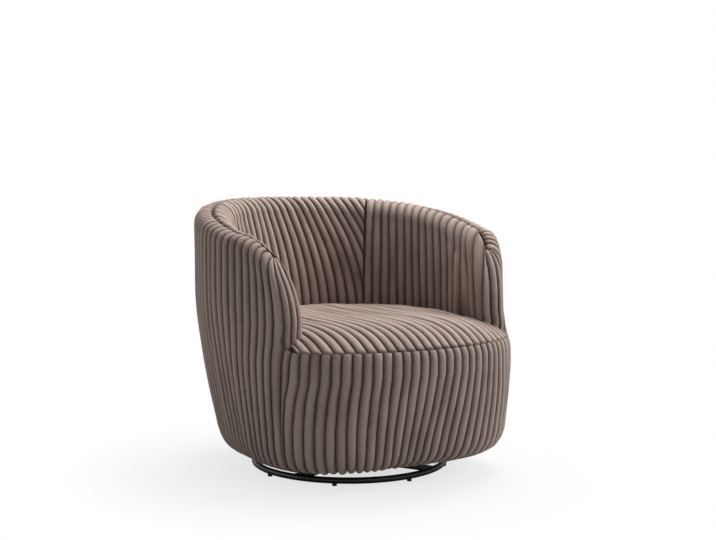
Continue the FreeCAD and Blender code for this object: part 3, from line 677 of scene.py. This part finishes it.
def lining(name, side, long_piece, seed):
    """One piece of the lining, with the wide rib along its arm's front."""
    start = abs(LINING_MIDDLE) if long_piece else LINING_SEAM
    start_ridge = float(run_at_angle(start))
    start_foot = float(np.interp(start, FOOT_ANGLES, FOOT_RUNS))
    count = round((LAST_RIDGE - start_ridge) / CHANNEL_PITCH * ARM_STRETCH)
    widths = np.interp(np.arange(count) / (count - 1), (0, 0.4, 1), (1, 1, 1.7))
    marks = np.concatenate([[0], np.cumsum(widths)]) / widths.sum()
    pairs = arm_pairs(start_ridge, start_foot, rib_places(marks), side)
    if long_piece:
        pairs = back_pairs(-start_ridge) + pairs[1:]
    along, height = lining_lines(pairs)
    if long_piece:
        along = np.minimum(along, LINING_SEAM * RIM_REACH)
    else:
        along = np.maximum(along, LINING_SEAM * RIM_REACH)
    grid = lining_grid(along, height)
    # The last rib ends at the wide rib beside the gusset's seam
    edge = front_line_at(side, LINING_LAST_TURN, lining_roll)
    last_steps = rib_places([0, 1])[:, None, None]
    grid[-STEPS_PER_RIB - 1:] = lerp(grid[-STEPS_PER_RIB - 1], edge, last_steps)
    seam = front_line_at(side, APEX_TURN, gusset_roll)
    grid = np.concatenate([grid, ribs_between(edge, seam, side, [0, 1])[1:]])
    grid, normals = grid[..., :3], unit(grid[..., 3:])
    taper = seam_taper(grid, LINING_SEAM, long_piece)
    full = ends(grid, RIM_SEAM_LENGTH, CREVICE_LENGTH)
    points, high = sewn(grid, normals, full, seed, taper=taper)
    piece = make_mesh(name, points, high)
    tidy_mesh(piece, lambda centre: Vector((-centre.x, -centre.y, 0.2)))
    return piece


def arm_front(name, side, seed):
    """Gusset of two narrow ribs between the outer cover and the lining's wide rib."""
    near = front_line_at(side, APEX_TURN, seam_roll)
    far = front_line_at(side, APEX_TURN, gusset_roll)
    grid = ribs_between(near, far, side, [0, 0.5, 1])
    grid, normals = grid[..., :3], unit(grid[..., 3:])
    full = ends(grid, CREVICE_LENGTH, SHORT_SEAM_LENGTH)
    points, high = sewn(grid, normals, full, seed)
    piece = make_mesh(name, points, high)
    tidy_mesh(piece, lambda centre: Vector((centre.x, centre.y - 0.5, 0)))
    return piece


# Front and seat

def front_crest(ahead, height):
    """Radius of the front's crests at an angle from straight ahead."""
    corner = corner_share(np.pi - ahead)
    rise = np.interp(height, (0.112, 0.200, 0.290, 0.330, 0.350), (0, 0.55, 1, 0.75, 0.25))
    return wall_crest(np.pi - ahead, height) + FRONT_SWELL * rise * (1 - corner)


def front_line(share, rows=34):
    """Crest line of the front at a share of its width, from the seat's seam to the hem."""
    heights = np.concatenate([np.linspace(SEAT_SEAM - 0.001, 0.1, rows), WALL[3::-1, 0]])
    ahead = (np.pi - front_seam_angle(heights)) * share
    wall = place(np.pi - ahead, front_crest(ahead, heights), heights)
    swell = HEM_CORNER * corner_share(np.pi - ahead[-1:])
    hem = place(np.pi - ahead[-1:], HEM_RADIUS + swell, np.array([HEM_HEIGHT]))
    return np.concatenate([wall, hem])


def front_cover():
    """The ribbed front under the seat."""
    marks = np.linspace(-1, 1, FRONT_RIBS + 1)
    grid = resampled([front_line(share) for share in rib_places(marks)], FRONT_ROWS)
    outwards = unit(grid * np.array([1, 1, 0]) + np.array([0, 0, 1e-6]))
    outwards[:, -8:, 2] -= 1  # the turned hem faces down
    normals = grid_normals(grid, outwards)
    full = ends(grid, SHORT_SEAM_LENGTH, 0, FRONT_SEAM_LEAST)
    points, high = sewn(grid, normals, full, seed=11)
    piece = make_mesh("front_cover_ribbed", points, high)
    tidy_mesh(piece, lambda centre: Vector((centre.x, centre.y, 0)))
    return piece


def close_under(piece):
    """Closes a top sheet with a wall that leans inwards and a flat underside."""
    work = bmesh.new()
    work.from_mesh(piece.data)
    rim = [edge for edge in work.edges if edge.is_boundary]
    made = bmesh.ops.extrude_edge_only(work, edges=rim)["geom"]
    for item in made:
        if isinstance(item, bmesh.types.BMVert):
            item.co.x *= UNDERSIDE_SHARE
            item.co.y *= UNDERSIDE_SHARE
            item.co.z = UNDERSIDE
    low = [item for item in made if isinstance(item, bmesh.types.BMEdge)]
    bmesh.ops.triangle_fill(work, edges=low, use_beauty=False)
    bmesh.ops.recalc_face_normals(work, faces=work.faces)
    work.to_mesh(piece.data)
    work.free()


def seat_cushion():
    """The seat's crowned cushion, with its ribs running from back to front."""
    inner = np.radians(np.linspace(-FRONT_LIMIT, FRONT_LIMIT, FRONT_RIBS + 1)[2:-2])
    front_x = front_edge(np.pi - inner) * np.sin(inner)
    count = len(front_x)
    back_x = (np.arange(count) - (count - 1) / 2) * CHANNEL_PITCH
    edge = SEAT_HALF_WIDTH
    front_x = np.concatenate([[-edge], front_x, [edge]])
    back_x = np.concatenate([[-edge], back_x, [edge]])
    angles = np.linspace(0, math.radians(FRONT_LIMIT), 400)
    edge_x = front_edge(np.pi - angles) * np.sin(angles)
    edge_y = -front_edge(np.pi - angles) * np.cos(angles)
    share = np.linspace(0, 1, 160)
    lines = []
    for near, far in zip(rib_places(back_x), rib_places(front_x)):
        back_y = math.sqrt(max(SEAT_BACK_RADIUS ** 2 - near ** 2, SEAT_BACK_LEAST ** 2))
        front_y = float(np.interp(abs(far), edge_x, edge_y))
        y = lerp(back_y, front_y, share)
        x = lerp(near, far, share ** 1.2)
        lines.append(np.stack([x, y, seat_surface(x, y)], -1))
    grid = resampled(lines, SEAT_ROWS)
    normals = grid_normals(grid, np.array([0, 0, 1.0]) + 0 * grid)
    full = ends(grid, CREVICE_LENGTH, SHORT_SEAM_LENGTH, FRONT_SEAM_LEAST)
    points, high = sewn(grid, normals, full, seed=17, depth=SEAT_CHANNEL_DEPTH)
    piece = make_mesh("seat_cushion", points, high)
    tidy_mesh(piece, lambda centre: Vector((0, 0, 1)))
    close_under(piece)
    return piece


# Materials

class Sock:
    """A socket whose arithmetic adds Math nodes."""

    def __init__(self, work, socket):
        self.work = work
        self.socket = socket

    def _math(self, operation, *values):
        return self.work.node("ShaderNodeMath", {"operation": operation},
                              dict(enumerate(values)))

    def __add__(self, other):
        return self._math("ADD", self, other)

    def __sub__(self, other):
        return self._math("SUBTRACT", self, other)

    def __mul__(self, other):
        return self._math("MULTIPLY", self, other)

    def clamped(self):
        return self.work.node("ShaderNodeClamp", {}, {0: self})


class Finish:
    """A material's nodes."""

    def __init__(self, name):
        self.material = bpy.data.materials.new(name)
        self.material.use_nodes = True
        self.tree = self.material.node_tree
        self.tree.nodes.clear()
        self.output = self.tree.nodes.new("ShaderNodeOutputMaterial")

    def node(self, kind, settings, inputs, output=0):
        node = self.tree.nodes.new(kind)
        for key, value in settings.items():
            if key == "stops":
                ramp = node.color_ramp
                while len(ramp.elements) < len(value):
                    ramp.elements.new(0.5)
                for element, (position, colour) in zip(ramp.elements, value):
                    element.position = position
                    element.color = colour
            else:
                setattr(node, key, value)
        for key, value in inputs.items():
            if isinstance(value, Sock):
                self.tree.links.new(value.socket, node.inputs[key])
            else:
                node.inputs[key].default_value = value
        return Sock(self, node.outputs[output])

    def mix(self, share, first, second):
        return self.node("ShaderNodeMix", {"data_type": "RGBA"},
                         {0: share, 6: first, 7: second}, 2)

    def noise(self, spot, scale, detail=3.0, rough=0.5):
        return self.node("ShaderNodeTexNoise", {}, {
            "Vector": spot, "Scale": scale, "Detail": detail, "Roughness": rough})

    def object_place(self):
        return self.node("ShaderNodeTexCoord", {}, {}, 3)

    def finish(self, shader):
        self.tree.links.new(shader.socket, self.output.inputs["Surface"])
        return self.material


def colour(red, green, blue):
    """Linear colour from the usual 0 to 255 values."""
    values = [value / 255 for value in (red, green, blue)]
    return tuple(value / 12.92 if value <= 0.04045 else ((value + 0.055) / 1.055) ** 2.4
                 for value in values) + (1.0,)


def chenille():
    """Taupe chenille with a soft nap, with painted shade down in the seams and a painted
    highlight on the crests.
    """
    work = Finish("taupe_chenille")
    spot = work.object_place()
    height = work.node("ShaderNodeAttribute", {"attribute_name": "rib_height"}, {}, 2)
    patches = work.noise(spot, 16.0, 3.0)
    nap = work.noise(spot, 300.0, 4.0, 0.65)
    fibre = work.noise(spot, 1500.0, 2.0)
    # Painted shade and painted highlight: by rib height, the ramp darkens the channels as
    # shade and lightens the crests as a highlight.
    ramp = work.node("ShaderNodeValToRGB", {"stops": (
        (0.0, colour(38, 30, 27)), (0.45, colour(96, 81, 73)),
        (0.80, colour(140, 123, 115)), (1.0, colour(168, 151, 143)))},
        {0: height + (nap - 0.5) * 0.8 + (patches - 0.5) * 0.3})
    tone = work.mix(patches * 0.4, ramp, colour(134, 116, 106))
    bump = work.node("ShaderNodeBump", {}, {
        "Strength": 0.9, "Distance": 0.0025, "Height": nap * 0.7 + fibre * 0.3})
    shader = work.node("ShaderNodeBsdfPrincipled", {}, {
        "Base Color": tone, "Roughness": 0.9, "Sheen Weight": 0.30,
        "Sheen Roughness": 0.45, "Sheen Tint": colour(224, 210, 202),
        "Specular IOR Level": 0.2, "Normal": bump})
    return work.finish(shader)


def powder_coat():
    """Black powder coat with a fine grain."""
    work = Finish("black_powder_coat")
    spot = work.object_place()
    grain = work.noise(spot, 900.0, 3.0)
    wear = work.noise(spot, 30.0, 4.0)
    bump = work.node("ShaderNodeBump", {}, {
        "Strength": 0.2, "Distance": 0.0004, "Height": grain})
    tone = work.mix(wear, colour(18, 18, 19), colour(30, 30, 31))
    shader = work.node("ShaderNodeBsdfPrincipled", {}, {
        "Base Color": tone, "Roughness": grain * 0.15 + 0.33, "Normal": bump})
    return work.finish(shader)


def zinc():
    """Bright zinc plate with faint clouding."""
    work = Finish("zinc_plate")
    spot = work.object_place()
    cloud = work.noise(spot, 60.0, 5.0)
    tone = work.mix(cloud, colour(150, 152, 156), colour(190, 192, 196))
    shader = work.node("ShaderNodeBsdfPrincipled", {}, {
        "Base Color": tone, "Metallic": 1.0, "Roughness": cloud * 0.25 + 0.25})
    return work.finish(shader)


def plywood():
    """Birch plywood: long faint grain and its layers."""
    work = Finish("birch_plywood")
    spot = work.object_place()
    stretched = work.node("ShaderNodeVectorMath", {"operation": "MULTIPLY"},
                          {0: spot, 1: (18.0, 160.0, 400.0)})
    grain = work.noise(stretched, 1.0, 5.0, 0.6)
    tone = work.mix(grain, colour(176, 140, 96), colour(214, 184, 138))
    bump = work.node("ShaderNodeBump", {}, {
        "Strength": 0.15, "Distance": 0.0005, "Height": grain})
    shader = work.node("ShaderNodeBsdfPrincipled", {}, {
        "Base Color": tone, "Roughness": grain * 0.2 + 0.55, "Normal": bump})
    return work.finish(shader)


def woven():
    """Black elastic webbing and dust cloth with a fine weave."""
    work = Finish("woven_black")
    spot = work.object_place()
    warp = work.node("ShaderNodeTexWave", {"bands_direction": "X"},
                     {"Vector": spot, "Scale": 260.0, "Distortion": 0.4})
    weft = work.node("ShaderNodeTexWave", {"bands_direction": "Y"},
                     {"Vector": spot, "Scale": 260.0, "Distortion": 0.4})
    cloth = warp * weft
    tone = work.mix(cloth, colour(20, 20, 21), colour(48, 47, 46))
    bump = work.node("ShaderNodeBump", {}, {
        "Strength": 0.4, "Distance": 0.0004, "Height": cloth})
    shader = work.node("ShaderNodeBsdfPrincipled", {}, {
        "Base Color": tone, "Roughness": 0.85, "Normal": bump})
    return work.finish(shader)


def glide_plastic():
    """Dark moulded plastic, slightly scuffed."""
    work = Finish("moulded_plastic")
    spot = work.object_place()
    scuff = work.noise(spot, 220.0, 4.0)
    tone = work.mix(scuff, colour(24, 24, 25), colour(44, 44, 45))
    shader = work.node("ShaderNodeBsdfPrincipled", {}, {
        "Base Color": tone, "Roughness": scuff * 0.2 + 0.45})
    return work.finish(shader)


def foam():
    """Cut polyurethane foam."""
    work = Finish("cut_foam")
    spot = work.object_place()
    cells = work.node("ShaderNodeTexVoronoi", {}, {"Vector": spot, "Scale": 500.0})
    tone = work.mix(cells, colour(214, 206, 186), colour(236, 230, 214))
    shader = work.node("ShaderNodeBsdfPrincipled", {}, {
        "Base Color": tone, "Roughness": 0.95})
    return work.finish(shader)


def plain_floor():
    """Floor that the camera sees as white, but for the chair's shadow."""
    work = Finish("studio_floor")
    spot = work.object_place()
    mottle = work.noise(spot, 3.0, 2.0)
    tone = work.mix(mottle, (0.50, 0.50, 0.50, 1), (0.52, 0.52, 0.52, 1))
    matt = work.node("ShaderNodeBsdfPrincipled", {}, {
        "Base Color": tone, "Roughness": 1.0, "Specular IOR Level": 0.0})
    white = work.node("ShaderNodeEmission", {}, {"Color": (1, 1, 1, 1), "Strength": 1.0})
    seen = work.node("ShaderNodeLightPath", {}, {}, 0)
    away = work.node("ShaderNodeVectorMath", {"operation": "LENGTH"}, {0: spot}, 1)
    share = ((away - 0.35) * 0.5 + 0.80).clamped()
    return work.finish(work.node("ShaderNodeMixShader", {},
                                 {0: seen * share, 1: matt, 2: white}))


# Studio

def studio_floor(size=14.0):
    mesh = bpy.data.meshes.new("studio_floor")
    mesh.from_pydata([(-size, -size, 0), (size, -size, 0), (size, size, 0),
                      (-size, size, 0)], [], [(0, 1, 2, 3)])
    floor = bpy.data.objects.new("studio_floor", mesh)
    bpy.context.scene.collection.objects.link(floor)
    mesh.materials.append(plain_floor())


def studio_world():
    """Soft light from all round, which the camera and reflections see as white."""
    world = bpy.data.worlds.new("studio_world")
    bpy.context.scene.world = world
    world.use_nodes = True
    tree = world.node_tree
    tree.nodes.clear()
    output = tree.nodes.new("ShaderNodeOutputWorld")
    path = tree.nodes.new("ShaderNodeLightPath")
    shown = tree.nodes.new("ShaderNodeMath")
    shown.operation = "MAXIMUM"
    mixer = tree.nodes.new("ShaderNodeMixShader")
    tree.links.new(path.outputs["Is Camera Ray"], shown.inputs[0])
    tree.links.new(path.outputs["Is Glossy Ray"], shown.inputs[1])
    tree.links.new(shown.outputs[0], mixer.inputs[0])
    for number, strength in ((1, 0.26), (2, 1.0)):
        light = tree.nodes.new("ShaderNodeBackground")
        light.inputs["Color"].default_value = (1.0, 1.0, 1.0, 1.0)
        light.inputs["Strength"].default_value = strength
        tree.links.new(light.outputs[0], mixer.inputs[number])
    tree.links.new(mixer.outputs[0], output.inputs["Surface"])


def studio_lamps():
    """Soft boxes above, on the right and, weaker, on the left: name, place, size, watts."""
    middle = Vector((0, 0, 0.4))
    for name, spot, size, power in (
            ("overhead_softbox", (1.1, 0.4, 2.8), 1.6, 125),
            ("right_softbox", (2.8, -1.9, 2.2), 1.4, 74),
            ("left_softbox", (-3.2, 1.0, 1.4), 1.6, 18)):
        lamp = bpy.data.lights.new(name, "AREA")
        lamp.shape = "SQUARE"
        lamp.size = size
        lamp.energy = power
        holder = bpy.data.objects.new(name, lamp)
        bpy.context.scene.collection.objects.link(holder)
        holder.location = spot
        aim = middle - holder.location
        holder.rotation_euler = aim.to_track_quat("-Z", "Y").to_euler()


def photo_camera():
    """The photograph's camera, fitted to the floor ring and the seams."""
    turn = math.radians(CAMERA_TURN)
    yaw = math.radians(CAMERA_YAW)
    tilt = math.radians(CAMERA_TILT)
    along = Vector((-math.sin(turn - yaw), math.cos(turn - yaw), 0))
    right = Vector((math.cos(turn - yaw), math.sin(turn - yaw), 0))
    ahead = along * math.cos(tilt) - Vector((0, 0, 1)) * math.sin(tilt)
    up = right.cross(ahead)
    lens = bpy.data.cameras.new("photo_camera")
    lens.sensor_width = SENSOR_WIDTH
    lens.lens = FOCAL_PIXELS / PHOTO_PIXELS * SENSOR_WIDTH
    camera = bpy.data.objects.new("photo_camera", lens)
    bpy.context.scene.collection.objects.link(camera)
    turned = Matrix((right, up, -ahead)).transposed().to_4x4()
    turned.translation = Vector((CAMERA_DISTANCE * math.sin(turn),
                                 -CAMERA_DISTANCE * math.cos(turn), CAMERA_HEIGHT))
    camera.matrix_world = turned
    bpy.context.scene.camera = camera
    bpy.context.scene.view_settings.view_transform = "Standard"


# The chair

def dress_frame():
    """Gives each solid that stays its own finish."""
    finishes = {"black_steel": powder_coat(), "zinc_steel": zinc(), "plywood": plywood(),
                "webbing": woven(), "glide_plastic": glide_plastic(),
                "padding_foam": foam()}
    for part in frame["record"]["subparts"]:
        slot = part["material_slot"]
        if slot in finishes:
            piece = frame["nodes"][part["node"]]
            piece.data.materials.clear()
            piece.data.materials.append(finishes[slot])


def dress_cloth():
    """Makes the ribbed pieces and says which soft solids each one stands for."""
    cloth = chenille()
    pieces = (
        (outer_cover(),
         ("back_outer_cover", "arm_outer_cover_left", "arm_outer_cover_right",
          "back_foam", "arm_foam_left", "arm_foam_right")),
        (lining("lining_long", side=-1.0, long_piece=True, seed=5),
         ("back_inner_cover", "arm_inner_cover_right")),
        (lining("lining_short", side=1.0, long_piece=False, seed=7),
         ("arm_inner_cover_left",)),
        (arm_front("arm_front_left", side=1.0, seed=8), ("arm_front_cover_left",)),
        (arm_front("arm_front_right", side=-1.0, seed=9), ("arm_front_cover_right",)),
        (front_cover(), ("front_cover", "front_foam")),
        (seat_cushion(), ("seat_top_cover", "seat_foam")))
    for piece, nodes in pieces:
        piece.data.materials.append(cloth)
        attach(piece, "seat")
        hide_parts(*nodes)


studio_floor()
studio_world()
studio_lamps()
photo_camera()
dress_frame()
dress_cloth()
